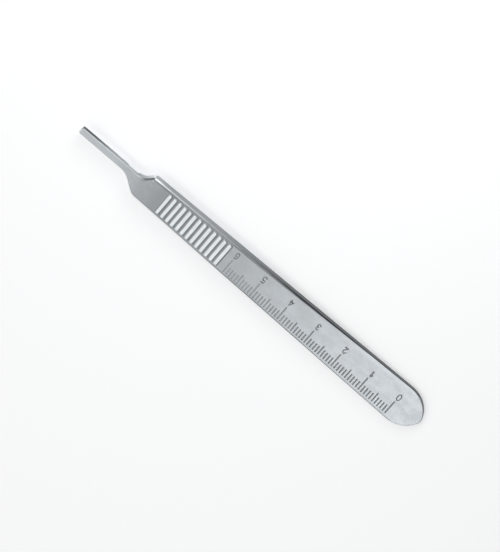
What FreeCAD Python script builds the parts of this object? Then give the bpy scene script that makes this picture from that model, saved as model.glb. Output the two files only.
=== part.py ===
import FreeCAD, Part
import math
import os

import Sketcher

# Scalpel handle, one piece of stainless steel, lying on its back face.
# Construction frame: X runs from the tip of the tang to the tail, Y across, Z up from the mid-plane.
# The front face carries the ruler and looks up. The back face carries the blade seat and looks down.
# The +Y edge is the spine of the blade, the -Y edge its cutting side.
# Sizes are in millimetres and degrees.

SIZES = [
    ("overall_length", 125.0, "tip of the tang to the tail"),
    ("body_thickness", 3.15, "between the flat faces of the grip"),
    ("shoulder_width", 9.0, "body behind the shoulders"),
    ("widest_width", 12.3, "body where the tail begins to round"),
    ("tail_thickness", 1.3, "at the very tail"),
    ("taper_start", 55.4, "where the faces begin to draw together"),
    ("taper_blend", 300.0, "radius from a grip face to its tapering face"),
    ("tail_arc_radius", 8.4, "each side of the tail"),
    ("nose_radius", 2.4, "end of the tail"),
    ("tang_spine", 1.3, "spine side of the tang from the centre line"),
    ("tang_edge", 0.72, "cutting side of the tang from the centre line"),
    ("tang_face", 0.65, "front face of the tang above the mid-plane"),
    ("tang_back", 1.2, "back face of the tang below the mid-plane"),
    ("tip_radius", 0.6, "corners of the tip in plan"),
    ("neck_face_start", 12.5, "where the front face begins to rise"),
    ("neck_face_end", 26.0, "where the front face reaches the grip"),
    ("neck_back_start", 17.0, "where the back face begins to drop"),
    ("neck_back_end", 24.5, "where the back face reaches the grip"),
    ("spine_shoulder", 25.2, "where the spine-side shoulder ends"),
    ("edge_shoulder", 23.2, "where the cutting-side shoulder ends"),
    ("spine_flank_angle", 48.0, "spine-side flank against the centre line"),
    ("edge_flank_angle", 38.0, "cutting-side flank against the centre line"),
    ("spine_cove_radius", 4.1, "hollow at the foot of the spine-side flank"),
    ("edge_cove_radius", 5.5, "hollow at the foot of the cutting-side flank"),
    ("spine_shoulder_radius", 1.9, "spine-side shoulder"),
    ("edge_shoulder_radius", 2.4, "cutting-side shoulder"),
    ("tang_rounding", 0.3, "edges of the tang and neck"),
    ("flank_rounding", 1.3, "edges of the spine-side flank"),
    ("grip_rounding", 0.9, "edges from the shoulders to the end of the grip"),
    ("tail_rounding", 0.2, "edges of the tail"),
    ("seat_level", 0.35, "blade seat below the mid-plane"),
    ("boss_length", 16.6, "raised boss that the blade slides over"),
    ("seat_end", 19.6, "heel of the blade seat on the centre line"),
    ("heel_angle", 60.0, "heel of the blade seat against the centre line"),
    ("groove_height", 0.4, "groove for the blade, in thickness"),
    ("groove_depth", 0.4, "groove for the blade, into each side"),
    ("groove_straight", 8.5, "length of the groove at full depth"),
    ("groove_end", 12.8, "where the groove has run out"),
    ("rib_first", 31.2, "centre of the first rib"),
    ("rib_pitch", 1.8, "from rib to rib"),
    ("rib_height", 0.3, "crest above the face"),
    ("rib_width", 1.5, "across the foot of a rib"),
    ("rib_inset", 0.92, "end of a rib from the side of the body"),
    ("rib_end_slope", 50.0, "crest of a rib down to its end"),
    ("tick_zero", 9.1, "zero line of the ruler from the tail"),
    ("tick_pitch", 1.0, "from line to line"),
    ("tick_inset", 1.05, "foot of a line from the side of the body"),
    ("tick_length", 2.4, "millimetre line"),
    ("half_tick_length", 3.3, "five-millimetre line"),
    ("long_tick_length", 4.75, "centimetre line"),
    ("tick_width", 0.42, "mouth of an engraved line"),
    ("tick_depth", 0.12, "engraved line"),
    ("tick_slope", 40.0, "walls of an engraved line from upright"),
    ("margin", 2.0, "reach of cutting shapes past the steel"),
]
RIBS = 13
RULER_CENTIMETRES = 6
TICKS_PER_HALF = 5
SIZE = {name: value for name, value, _ in SIZES}

Point = FreeCAD.Vector


def make_sheet(doc):
    """Driving dimensions, one row each: name, value, what it is."""
    sheet = doc.addObject("Spreadsheet::Sheet", "sizes")
    for row, (name, value, meaning) in enumerate(SIZES, 1):
        sheet.set(f"A{row}", name)
        sheet.set(f"B{row}", str(value))
        sheet.setAlias(f"B{row}", name)
        sheet.set(f"C{row}", meaning)
    doc.recompute()
    return sheet


def cell(name):
    return f"<<sizes>>.{name}"


def base_plane(body, role):
    return next(plane for plane in body.Origin.OriginFeatures if plane.Role == role)


def add_sketch(body, name, role):
    """Sketch on one of the body's own origin planes."""
    sketch = body.newObject("Sketcher::SketchObject", name)
    sketch.AttachmentSupport = [(base_plane(body, role), "")]
    sketch.MapMode = "FlatFace"
    return sketch


def line(start, end):
    return Part.LineSegment(Point(*start, 0), Point(*end, 0))


def arc(centre, radius, start_angle, end_angle):
    """Arc from one angle to another, counter-clockwise, in degrees."""
    circle = Part.Circle(Point(*centre, 0), Point(0, 0, 1), radius)
    return Part.ArcOfCircle(circle, math.radians(start_angle), math.radians(end_angle))


def ends(curve):
    """The two ends of a sketched curve with their vertex numbers."""
    return ((curve.StartPoint, 1), (curve.EndPoint, 2))


def direction(curve, vertex):
    parameter = curve.FirstParameter if vertex == 1 else curve.LastParameter
    return Point(*curve.tangent(parameter)[0])


def draw_loop(sketch, curves):
    """Adds a closed chain of curves. Neighbours in line are tangent, others only meet."""
    first = sketch.GeometryCount
    sketch.addGeometry(curves, False)
    for index, curve in enumerate(curves):
        following = (index + 1) % len(curves)
        pairs = [
            ((a - b).Length, at_a, at_b)
            for a, at_a in ends(curve)
            for b, at_b in ends(curves[following])
        ]
        _, at_a, at_b = min(pairs)
        bend = direction(curve, at_a).cross(direction(curves[following], at_b)).Length
        smooth = bend < math.sin(math.radians(12))
        kind = "Tangent" if smooth else "Coincident"
        sketch.addConstraint(
            Sketcher.Constraint(kind, first + index, at_a, first + following, at_b)
        )
    return first


def constrain(sketch, kind, expression, *where):
    """Named dimension bound to the sheet."""
    number = sketch.addConstraint(Sketcher.Constraint(kind, *where))
    name = f"size_{number}"
    sketch.renameConstraint(number, name)
    sketch.setExpression(f"Constraints.{name}", expression)


def check_solved(sketch):
    if sketch.solve() != 0:
        raise RuntimeError(f"{sketch.Name} isn't solved")


def across(name):
    """Half of a width, as a number for the first guess of a sketch."""
    return SIZE[name] / 2


def plan_curves():
    """First guess of the outline in plan, from the tip round the spine side to the tip again."""
    length, nose, tail = SIZE["overall_length"], SIZE["nose_radius"], SIZE["tail_arc_radius"]
    half = across("widest_width")
    drop = tail - half
    tail_x = length - nose - math.sqrt((tail - nose) ** 2 - drop**2)
    meet = math.degrees(math.atan2(drop, length - nose - tail_x))
    meet_point = (tail_x + tail * math.cos(math.radians(meet)), tail * math.sin(math.radians(meet)) - drop)

    def side(sign, tang, shoulder, angle, cove, bend):
        """Tip corner, tang, cove, flank, shoulder and long side of one edge."""
        tip = SIZE["tip_radius"]
        half_shoulder = across("shoulder_width")
        slope = math.radians(angle)
        set_back = bend * math.tan(slope / 2)
        corner_x = shoulder - set_back
        neck_x = corner_x - (half_shoulder - tang) / math.tan(slope)
        cove_x = neck_x - cove * math.tan(slope / 2)
        flank_start = (
            neck_x + cove * math.tan(slope / 2) * math.cos(slope),
            sign * (tang + cove * (1 - math.cos(slope))),
        )
        flank_end = (
            corner_x - set_back * math.cos(slope),
            sign * (half_shoulder - set_back * math.sin(slope)),
        )
        up = 90 * sign
        turn = sorted((up, 180 * sign))
        cove_turn = sorted((-up, -up + sign * angle))
        bend_turn = sorted((up, up + sign * angle))
        return [
            arc((tip, sign * (tang - tip)), tip, *turn),
            line((tip, sign * tang), (cove_x, sign * tang)),
            arc((cove_x, sign * (tang + cove)), cove, *cove_turn),
            line(flank_start, flank_end),
            arc((shoulder, sign * (half_shoulder - bend)), bend, *bend_turn),
            line((shoulder, sign * half_shoulder), (tail_x, sign * half)),
        ]

    spine = side(
        1,
        SIZE["tang_spine"],
        SIZE["spine_shoulder"],
        SIZE["spine_flank_angle"],
        SIZE["spine_cove_radius"],
        SIZE["spine_shoulder_radius"],
    )
    edge = side(
        -1,
        SIZE["tang_edge"],
        SIZE["edge_shoulder"],
        SIZE["edge_flank_angle"],
        SIZE["edge_cove_radius"],
        SIZE["edge_shoulder_radius"],
    )
    tip = line(
        (0, SIZE["tip_radius"] - SIZE["tang_edge"]), (0, SIZE["tang_spine"] - SIZE["tip_radius"])
    )
    spine_tail = arc((tail_x, -drop), tail, meet, 90)
    nose_turn = math.degrees(math.atan2(meet_point[1], meet_point[0] - (length - nose)))
    end = arc((length - nose, 0), nose, -nose_turn, nose_turn)
    edge_tail = arc((tail_x, drop), tail, -90, -meet)
    return [tip] + spine + [spine_tail, end, edge_tail] + edge[::-1]


def constrain_plan(sketch):
    """Numbers follow the order of plan_curves."""
    (tip, _, spine_tang, spine_cove, spine_flank, spine_bend, spine_side, spine_tail) = range(8)
    (nose, edge_tail, edge_side, edge_bend, edge_flank, edge_cove, edge_tang, edge_tip) = range(8, 16)
    sketch.addConstraint(Sketcher.Constraint("PointOnObject", tip, 1, -2))
    sketch.addConstraint(Sketcher.Constraint("Vertical", tip))
    sketch.addConstraint(Sketcher.Constraint("Horizontal", spine_tang))
    sketch.addConstraint(Sketcher.Constraint("Horizontal", edge_tang))
    sketch.addConstraint(Sketcher.Constraint("PointOnObject", nose, 3, -1))
    sketch.addConstraint(Sketcher.Constraint("Equal", 1, edge_tip))
    sketch.addConstraint(Sketcher.Constraint("Equal", spine_tail, edge_tail))
    half_shoulder = f"{cell('shoulder_width')} / 2"
    half_widest = f"{cell('widest_width')} / 2"
    nose_centre = f"{cell('overall_length')} - {cell('nose_radius')}"
    constrain(sketch, "DistanceY", cell("tang_spine"), -1, 1, spine_tang, 1, SIZE["tang_spine"])
    constrain(sketch, "DistanceY", cell("tang_edge"), edge_tang, 1, -1, 1, SIZE["tang_edge"])
    constrain(sketch, "Radius", cell("tip_radius"), 1, SIZE["tip_radius"])
    constrain(sketch, "Radius", cell("spine_cove_radius"), spine_cove, SIZE["spine_cove_radius"])
    constrain(sketch, "Radius", cell("edge_cove_radius"), edge_cove, SIZE["edge_cove_radius"])
    constrain(sketch, "Radius", cell("spine_shoulder_radius"), spine_bend, SIZE["spine_shoulder_radius"])
    constrain(sketch, "Radius", cell("edge_shoulder_radius"), edge_bend, SIZE["edge_shoulder_radius"])
    constrain(sketch, "Radius", cell("tail_arc_radius"), spine_tail, SIZE["tail_arc_radius"])
    constrain(sketch, "Radius", cell("nose_radius"), nose, SIZE["nose_radius"])
    spine_angle = math.radians(SIZE["spine_flank_angle"])
    edge_angle = math.radians(-SIZE["edge_flank_angle"])
    constrain(sketch, "Angle", cell("spine_flank_angle"), spine_flank, spine_angle)
    constrain(sketch, "Angle", f"-{cell('edge_flank_angle')}", edge_flank, edge_angle)
    constrain(sketch, "DistanceX", cell("spine_shoulder"), -1, 1, spine_side, 1, SIZE["spine_shoulder"])
    constrain(sketch, "DistanceX", cell("edge_shoulder"), -1, 1, edge_side, 1, SIZE["edge_shoulder"])
    constrain(sketch, "DistanceY", half_shoulder, -1, 1, spine_side, 1, across("shoulder_width"))
    constrain(sketch, "DistanceY", half_shoulder, edge_side, 1, -1, 1, across("shoulder_width"))
    constrain(sketch, "DistanceY", half_widest, -1, 1, spine_side, 2, across("widest_width"))
    constrain(sketch, "DistanceY", half_widest, edge_side, 2, -1, 1, across("widest_width"))
    constrain(
        sketch,
        "DistanceX",
        nose_centre,
        -1,
        1,
        nose,
        3,
        SIZE["overall_length"] - SIZE["nose_radius"],
    )


def taper_angle():
    """Slope of each tapering face against the mid-plane, in degrees."""
    drop = (SIZE["body_thickness"] - SIZE["tail_thickness"]) / 2
    return math.degrees(math.atan(drop / (SIZE["overall_length"] - SIZE["taper_start"])))


TAPER = (
    f"atan(({cell('body_thickness')} - {cell('tail_thickness')}) / 2"
    f" / ({cell('overall_length')} - {cell('taper_start')}))"
)


def face_curves(sign, start, level, end):
    """One face in side view from the tip to past the tail: tang, hollow, crown, grip, blend, taper."""
    margin = SIZE["margin"]
    half = across("body_thickness")
    rise = (half - level) / 2
    run = (end - start) / 2
    bend = (run**2 + rise**2) / (2 * rise)
    turn = math.degrees(math.asin(run / bend))
    taper = taper_angle()
    blend = SIZE["taper_blend"]
    blend_x = SIZE["taper_start"] - blend * math.tan(math.radians(taper / 2))
    taper_x = blend_x + blend * math.sin(math.radians(taper))
    taper_z = half - blend * (1 - math.cos(math.radians(taper)))
    last_x = SIZE["overall_length"] + margin
    last_z = taper_z - (last_x - taper_x) * math.tan(math.radians(taper))
    up = 90 * sign
    return [
        line((-margin, sign * level), (start, sign * level)),
        arc((start, sign * (level + bend)), bend, *sorted((-up, -up + sign * turn))),
        arc((end, sign * (half - bend)), bend, *sorted((up, up + sign * turn))),
        line((end, sign * half), (blend_x, sign * half)),
        arc((blend_x, sign * (half - blend)), blend, *sorted((up, up - sign * taper))),
        line((taper_x, sign * taper_z), (last_x, sign * last_z)),
    ]


def side_curves():
    front = face_curves(1, SIZE["neck_face_start"], SIZE["tang_face"], SIZE["neck_face_end"])
    back = face_curves(-1, SIZE["neck_back_start"], SIZE["tang_back"], SIZE["neck_back_end"])
    front_end = front[-1].EndPoint
    back_end = back[-1].EndPoint
    tail = line((front_end.x, front_end.y), (back_end.x, back_end.y))
    tip = line((-SIZE["margin"], -SIZE["tang_back"]), (-SIZE["margin"], SIZE["tang_face"]))
    return front + [tail] + back[::-1] + [tip]


def constrain_face(sketch, curves, sign, start, level, end):
    """curves holds the numbers of the six curves of face_curves in the same order."""
    tang, hollow, crown, grip, blend, taper = curves
    for flat in (tang, grip):
        sketch.addConstraint(Sketcher.Constraint("Horizontal", flat))
    sketch.addConstraint(Sketcher.Constraint("Equal", hollow, crown))
    blend_start = f"{cell('taper_start')} - {cell('taper_blend')} * tan({TAPER} / 2)"
    half = f"{cell('body_thickness')} / 2"
    heights = ((tang, cell(level), SIZE[level]), (grip, half, across("body_thickness")))
    for flat, expression, value in heights:
        where = (-1, 1, flat, 1) if sign > 0 else (flat, 1, -1, 1)
        constrain(sketch, "DistanceY", expression, *where, value)
    taper = math.radians(taper_angle())
    blend_x = SIZE["taper_start"] - SIZE["taper_blend"] * math.tan(taper / 2)
    constrain(sketch, "DistanceX", cell(start), -1, 1, tang, 2, SIZE[start])
    constrain(sketch, "DistanceX", cell(end), -1, 1, grip, 1, SIZE[end])
    constrain(sketch, "DistanceX", blend_start, -1, 1, grip, 2, blend_x)
    constrain(sketch, "Radius", cell("taper_blend"), blend, SIZE["taper_blend"])
    constrain(sketch, "Angle", f"{-sign} * {TAPER}", curves[-1], -sign * taper)


def constrain_side(sketch):
    front = range(6)
    tail = 6
    back = range(12, 6, -1)
    tip = 13
    constrain_face(sketch, list(front), 1, "neck_face_start", "tang_face", "neck_face_end")
    constrain_face(sketch, list(back), -1, "neck_back_start", "tang_back", "neck_back_end")
    for upright in (tail, tip):
        sketch.addConstraint(Sketcher.Constraint("Vertical", upright))
    constrain(sketch, "DistanceX", cell("margin"), front[0], 1, -1, 1, SIZE["margin"])
    past_tail = f"{cell('overall_length')} + {cell('margin')}"
    past_tail_x = SIZE["overall_length"] + SIZE["margin"]
    constrain(sketch, "DistanceX", past_tail, -1, 1, front[-1], 2, past_tail_x)


def draw_frame(sketch):
    """Rectangle outside the side view. What lies between the two is cut away."""
    margin = SIZE["margin"]
    left, right = -2 * margin, SIZE["overall_length"] + 2 * margin
    top = SIZE["body_thickness"] + margin
    corners = [(left, -top), (right, -top), (right, top), (left, top)]
    sides = [line(a, b) for a, b in zip(corners, corners[1:] + corners[:1])]
    bottom, end, lid, start = range(sketch.GeometryCount, sketch.GeometryCount + 4)
    draw_loop(sketch, sides)
    for level in (bottom, lid):
        sketch.addConstraint(Sketcher.Constraint("Horizontal", level))
    for upright in (end, start):
        sketch.addConstraint(Sketcher.Constraint("Vertical", upright))
    height = f"{cell('body_thickness')} + {cell('margin')}"
    constrain(sketch, "DistanceY", height, -1, 1, lid, 1, top)
    constrain(sketch, "DistanceY", height, bottom, 1, -1, 1, top)
    constrain(sketch, "DistanceX", f"2 * {cell('margin')}", start, 1, -1, 1, -left)
    constrain(
        sketch,
        "DistanceX",
        f"{cell('overall_length')} + 2 * {cell('margin')}",
        -1,
        1,
        end,
        1,
        right,
    )


def make_blank(doc):
    """Handle with its outline, hollows and tapers, all edges still sharp."""
    body = doc.addObject("PartDesign::Body", "blank")
    plan = add_sketch(body, "plan_view", "XY_Plane")
    draw_loop(plan, plan_curves())
    constrain_plan(plan)
    check_solved(plan)
    bar = body.newObject("PartDesign::Pad", "bar")
    bar.Profile = plan
    bar.SideType = "Symmetric"
    bar.setExpression("Length", f"{cell('body_thickness')} + {cell('margin')}")
    doc.recompute()
    side = add_sketch(body, "side_view", "XZ_Plane")
    draw_loop(side, side_curves())
    constrain_side(side)
    draw_frame(side)
    check_solved(side)
    faces = body.newObject("PartDesign::Pocket", "ground_faces")
    faces.Profile = side
    faces.SideType = "Symmetric"
    faces.Type = "ThroughAll"
    body.Tip = faces
    doc.recompute()
    return body


def is_upright(face):
    low_u, high_u, low_v, high_v = face.ParameterRange
    return abs(face.normalAt((low_u + high_u) / 2, (low_v + high_v) / 2).z) < 1e-6


def rounding_of(edge, plan):
    """Radius of a rim edge, or None where it runs over smoothly from one stretch to the next."""
    near, far = sorted((edge.Vertexes[0].X, edge.Vertexes[-1].X))
    spine_side = edge.CenterOfMass.y > 0
    tang_end = plan.Geometry[2].EndPoint.x
    flank = plan.Geometry[4]
    tail_start = plan.Geometry[6].EndPoint.x
    shoulder = SIZE["spine_shoulder"] if spine_side else SIZE["edge_shoulder"]
    slack = 0.01
    if far < tang_end + slack:
        return SIZE["tang_rounding"]
    if near > tail_start - slack:
        return SIZE["tail_rounding"]
    if near > SIZE["taper_start"]:
        return None
    if near > shoulder - slack:
        return SIZE["grip_rounding"]
    if spine_side and near > flank.StartPoint.x - slack and far < flank.EndPoint.x + slack:
        return SIZE["flank_rounding"]
    return None


def make_rounded(doc, blank, plan):
    """Blank with the rims of both faces rounded, broadly on the shoulders and finely at the tail."""
    rims = []
    for number, edge in enumerate(blank.Shape.Edges, 1):
        walls = [is_upright(face) for face in blank.Shape.ancestorsOfType(edge, Part.Face)]
        radius = rounding_of(edge, plan)
        if len(walls) == 2 and walls.count(True) == 1 and radius is not None:
            rims.append((number, radius, radius))
    rounded = doc.addObject("Part::Fillet", "rounded_blank")
    rounded.Base = blank
    rounded.Edges = rims
    doc.recompute()
    return rounded


def offset_sketch(body, name, role, offsets):
    """Sketch on an origin plane, moved along its own axes by expressions."""
    sketch = add_sketch(body, name, role)
    for axis, expression in offsets.items():
        sketch.setExpression(f"AttachmentOffset.Base.{axis}", expression)
    return sketch


def cut(body, name, sketch, depth=None):
    """Pocket from the sketch towards the back of its plane, to a depth or through all."""
    pocket = body.newObject("PartDesign::Pocket", name)
    pocket.Profile = sketch
    if depth is None:
        pocket.Type = "ThroughAll"
    else:
        pocket.setExpression("Length", depth)
    body.Tip = pocket
    body.Document.recompute()
    return pocket


def cut_seat(body):
    """Seat for the rear of the blade, behind the boss, ending in a slanting heel."""
    sketch = offset_sketch(body, "seat_plan", "XY_Plane", {"z": f"-{cell('seat_level')}"})
    reach = SIZE["tang_spine"] + SIZE["margin"]
    slant = reach / math.tan(math.radians(SIZE["heel_angle"]))
    start, end = SIZE["boss_length"], SIZE["seat_end"]
    corners = [(start, -reach), (end - slant, -reach), (end + slant, reach), (start, reach)]
    draw_loop(sketch, [line(a, b) for a, b in zip(corners, corners[1:] + corners[:1])])
    lower, heel, upper, boss = range(4)
    for level in (lower, upper):
        sketch.addConstraint(Sketcher.Constraint("Horizontal", level))
    sketch.addConstraint(Sketcher.Constraint("Vertical", boss))
    reach_cell = f"{cell('tang_spine')} + {cell('margin')}"
    heel_end = f"{cell('seat_end')} + ({reach_cell}) / tan({cell('heel_angle')} * 1 deg)"
    heel_angle = math.radians(SIZE["heel_angle"])
    constrain(sketch, "DistanceX", cell("boss_length"), -1, 1, boss, 1, start)
    constrain(sketch, "DistanceY", reach_cell, -1, 1, upper, 1, reach)
    constrain(sketch, "DistanceY", reach_cell, lower, 1, -1, 1, reach)
    constrain(sketch, "DistanceX", heel_end, -1, 1, heel, 2, end + slant)
    constrain(sketch, "Angle", f"{cell('heel_angle')} * 1 deg", heel, heel_angle)
    check_solved(sketch)
    return cut(body, "blade_seat", sketch)


def draw_groove(sketch, sign, side):
    """Outline in plan of one side groove, with the run-out of a round cutter at its end."""
    margin, deep = SIZE["margin"], SIZE["groove_depth"]
    straight, end = SIZE["groove_straight"], SIZE["groove_end"]
    floor = SIZE[side] - deep
    run = end - straight
    bend = (run**2 + deep**2) / (2 * deep)
    turn = math.degrees(math.asin(run / bend))
    outside = SIZE[side] + margin
    first = sketch.GeometryCount
    flat, run_out, wall, outer, mouth = range(first, first + 5)
    curves = [
        line((-margin, sign * floor), (straight, sign * floor)),
        arc((straight, sign * (floor + bend)), bend, *sorted((-90 * sign, (turn - 90) * sign))),
        line((end, sign * SIZE[side]), (end, sign * outside)),
        line((end, sign * outside), (-margin, sign * outside)),
        line((-margin, sign * outside), (-margin, sign * floor)),
    ]
    draw_loop(sketch, curves)
    for level in (flat, outer):
        sketch.addConstraint(Sketcher.Constraint("Horizontal", level))
    for upright in (wall, mouth):
        sketch.addConstraint(Sketcher.Constraint("Vertical", upright))
    heights = (
        (flat, f"{cell(side)} - {cell('groove_depth')}", floor),
        (wall, cell(side), SIZE[side]),
        (outer, f"{cell(side)} + {cell('margin')}", outside),
    )
    for item, expression, value in heights:
        where = (-1, 1, item, 1) if sign > 0 else (item, 1, -1, 1)
        constrain(sketch, "DistanceY", expression, *where, value)
    constrain(sketch, "DistanceX", cell("margin"), flat, 1, -1, 1, margin)
    constrain(sketch, "DistanceX", cell("groove_straight"), -1, 1, flat, 2, straight)
    constrain(sketch, "DistanceX", cell("groove_end"), -1, 1, wall, 1, end)


def cut_grooves(body):
    """Grooves along both sides of the boss. Their upper wall is level with the seat."""
    sketch = offset_sketch(body, "groove_plan", "XY_Plane", {"z": f"-{cell('seat_level')}"})
    draw_groove(sketch, 1, "tang_spine")
    draw_groove(sketch, -1, "tang_edge")
    check_solved(sketch)
    return cut(body, "blade_grooves", sketch, cell("groove_height"))


RIB_RADIUS = (
    f"({cell('rib_width')} * {cell('rib_width')} / 4 + {cell('rib_height')} * {cell('rib_height')})"
    f" / (2 * {cell('rib_height')})"
)


def half_width(place):
    """Expression for half the width of the body at a distance from the tip."""
    return (
        f"({cell('shoulder_width')} + ({cell('widest_width')} - {cell('shoulder_width')})"
        f" * ({place} - {cell('spine_shoulder')})"
        f" / ({cell('overall_length')} - {cell('tail_arc_radius')} - {cell('spine_shoulder')})) / 2"
    )


def half_width_at(place):
    start = SIZE["spine_shoulder"]
    end = SIZE["overall_length"] - SIZE["tail_arc_radius"]
    spread = (SIZE["widest_width"] - SIZE["shoulder_width"]) * (place - start) / (end - start)
    return (SIZE["shoulder_width"] + spread) / 2


def add_rib(body, index):
    """Round bar across the front face, sunk so that only its crest stands out, with conical ends."""
    place = f"({cell('rib_first')} + {index} * {cell('rib_pitch')})"
    place_value = SIZE["rib_first"] + index * SIZE["rib_pitch"]
    depth = f"{cell('body_thickness')} / 2 + {cell('rib_height')} - {RIB_RADIUS}"
    sketch = offset_sketch(body, f"rib_{index + 1}_section", "YZ_Plane", {"y": depth, "z": place})
    width, height = SIZE["rib_width"], SIZE["rib_height"]
    radius = (width**2 / 4 + height**2) / (2 * height)
    slope = math.radians(SIZE["rib_end_slope"])
    reach = half_width_at(place_value) - SIZE["rib_inset"] - height / math.tan(slope)
    end = reach + radius / math.tan(slope)
    corners = [(-reach, radius), (reach, radius), (end, 0), (-end, 0)]
    draw_loop(sketch, [line(a, b) for a, b in zip(corners, corners[1:] + corners[:1])])
    crest, right, axis, _ = range(4)
    sketch.addConstraint(Sketcher.Constraint("Symmetric", crest, 1, crest, 2, -2))
    sketch.addConstraint(Sketcher.Constraint("Symmetric", axis, 1, axis, 2, -1, 1))
    sketch.addConstraint(Sketcher.Constraint("PointOnObject", axis, 1, -1))
    end_slope = f"{cell('rib_end_slope')} * 1 deg"
    reach_cell = f"{half_width(place)} - {cell('rib_inset')} - {cell('rib_height')} / tan({end_slope})"
    constrain(sketch, "DistanceY", RIB_RADIUS, -1, 1, crest, 2, radius)
    constrain(sketch, "DistanceX", reach_cell, -1, 1, crest, 2, reach)
    constrain(sketch, "Angle", f"-{end_slope}", right, -slope)
    check_solved(sketch)
    rib = body.newObject("PartDesign::Revolution", f"rib_{index + 1}")
    rib.Profile = sketch
    rib.ReferenceAxis = (sketch, ["H_Axis"])
    body.Tip = rib
    return rib


def add_ribs(doc, rounded):
    """Rounded blank with the ribs of the front face and the same ribs on the back face."""
    front = doc.addObject("PartDesign::Body", "front_ribs")
    for index in range(RIBS):
        add_rib(front, index)
    doc.recompute()
    back = doc.addObject("Part::Mirroring", "back_ribs")
    back.Source = front
    back.Normal = Point(0, 0, 1)
    ribbed = doc.addObject("Part::MultiFuse", "ribbed_blank")
    ribbed.Shapes = [rounded, front, back]
    doc.recompute()
    return ribbed


def engrave(body, name, length, step, count):
    """Row of engraved lines on the tapering front face, from the zero line towards the grip."""
    offsets = {"x": cell("taper_start"), "z": f"{cell('body_thickness')} / 2"}
    sketch = offset_sketch(body, f"{name}_mouth", "XY_Plane", offsets)
    sketch.AttachmentOffset = FreeCAD.Placement(
        sketch.AttachmentOffset.Base, FreeCAD.Rotation(Point(0, 1, 0), taper_angle())
    )
    sketch.setExpression("AttachmentOffset.Rotation.Angle", TAPER)
    slope = math.cos(math.radians(taper_angle()))
    zero_place = SIZE["overall_length"] - SIZE["tick_zero"]
    zero = (zero_place - SIZE["taper_start"]) / slope
    foot = half_width_at(zero_place) - SIZE["tick_inset"]
    wide, long = SIZE["tick_width"], SIZE[length]
    corners = [
        (zero - wide / 2, -foot),
        (zero + wide / 2, -foot),
        (zero + wide / 2, long - foot),
        (zero - wide / 2, long - foot),
    ]
    draw_loop(sketch, [line(a, b) for a, b in zip(corners, corners[1:] + corners[:1])])
    lower, tail_side, upper, tip_side = range(4)
    for level in (lower, upper):
        sketch.addConstraint(Sketcher.Constraint("Horizontal", level))
    for upright in (tail_side, tip_side):
        sketch.addConstraint(Sketcher.Constraint("Vertical", upright))
    span = RULER_CENTIMETRES * 2 * TICKS_PER_HALF * SIZE["tick_pitch"]
    narrowing = half_width_at(zero_place) - half_width_at(zero_place - span)
    guide = sketch.addGeometry(line((zero, -foot), (zero - span, narrowing - foot)), True)
    sketch.addConstraint(Sketcher.Constraint("Symmetric", lower, 1, lower, 2, guide, 1))
    zero_cell = f"({cell('overall_length')} - {cell('tick_zero')})"
    zero_x = f"({zero_cell} - {cell('taper_start')}) / cos({TAPER})"
    foot_y = f"{half_width(zero_cell)} - {cell('tick_inset')}"
    span_cell = f"{RULER_CENTIMETRES * 2 * TICKS_PER_HALF} * {cell('tick_pitch')}"
    narrow_cell = f"{half_width(zero_cell)} - {half_width(f'({zero_cell} - {span_cell})')}"
    constrain(sketch, "DistanceX", zero_x, -1, 1, guide, 1, zero)
    constrain(sketch, "DistanceY", foot_y, guide, 1, -1, 1, foot)
    constrain(sketch, "DistanceX", span_cell, guide, 2, guide, 1, span)
    constrain(sketch, "DistanceY", narrow_cell, guide, 1, guide, 2, narrowing)
    constrain(sketch, "DistanceX", cell("tick_width"), lower, 1, lower, 2, wide)
    constrain(sketch, "DistanceY", cell(length), tail_side, 1, tail_side, 2, long)
    check_solved(sketch)
    first = cut(body, name, sketch, cell("tick_depth"))
    first.setExpression("TaperAngle", f"-{cell('tick_slope')} * 1 deg")
    body.Document.recompute()
    row = body.newObject("PartDesign::LinearPattern", f"{name}_row")
    row.Originals = [first]
    row.Direction = (sketch, ["Axis0"])
    row.setExpression("Length", f"{(count - 1) * step} * {cell('tick_pitch')}")
    row.Occurrences = count
    body.Tip = row
    body.Document.recompute()
    return row


def rest_on_floor(handle):
    """Lies on the last back rib and the tail, origin under the middle of the bounding box."""
    last_rib = SIZE["rib_first"] + (RIBS - 1) * SIZE["rib_pitch"]
    crest = SIZE["body_thickness"] / 2 + SIZE["rib_height"]
    drop = crest - SIZE["tail_thickness"] / 2
    pitch = math.degrees(math.atan(drop / (SIZE["overall_length"] - last_rib)))
    tilt = FreeCAD.Rotation(Point(0, 1, 0), pitch)
    handle.Placement = FreeCAD.Placement(Point(0, 0, 0), tilt)
    box = handle.Shape.optimalBoundingBox()
    handle.Placement = FreeCAD.Placement(Point(-box.Center.x, -box.Center.y, -box.ZMin), tilt)


def make_handle(doc, ribbed):
    """Ribbed blank with the blade fitting and the ruler."""
    handle = doc.addObject("PartDesign::Body", "scalpel_handle")
    handle.Label = "scalpel_handle"
    handle.BaseFeature = ribbed
    doc.recompute()
    cut_seat(handle)
    cut_grooves(handle)
    half = TICKS_PER_HALF
    halves = 2 * RULER_CENTIMETRES
    engrave(handle, "millimetre_lines", "tick_length", 1, halves * half + 1)
    engrave(handle, "half_lines", "half_tick_length", half, halves + 1)
    engrave(handle, "centimetre_lines", "long_tick_length", 2 * half, RULER_CENTIMETRES + 1)
    rest_on_floor(handle)
    doc.recompute()
    return handle


def check_and_export(doc, parts):
    """Every object has to be sound before anything is written."""
    for item in doc.Objects:
        if {"Invalid", "Error"} & set(item.State):
            raise RuntimeError(f"{item.Name} failed: {item.State}")
    for part in parts:
        if part.Shape.isNull() or not part.Shape.isValid():
            raise RuntimeError(f"{part.Label} has no valid shape")
    os.makedirs("parts", exist_ok=True)
    for part in parts:
        part.Shape.exportStep(f"parts/{part.Label}.step")


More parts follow.
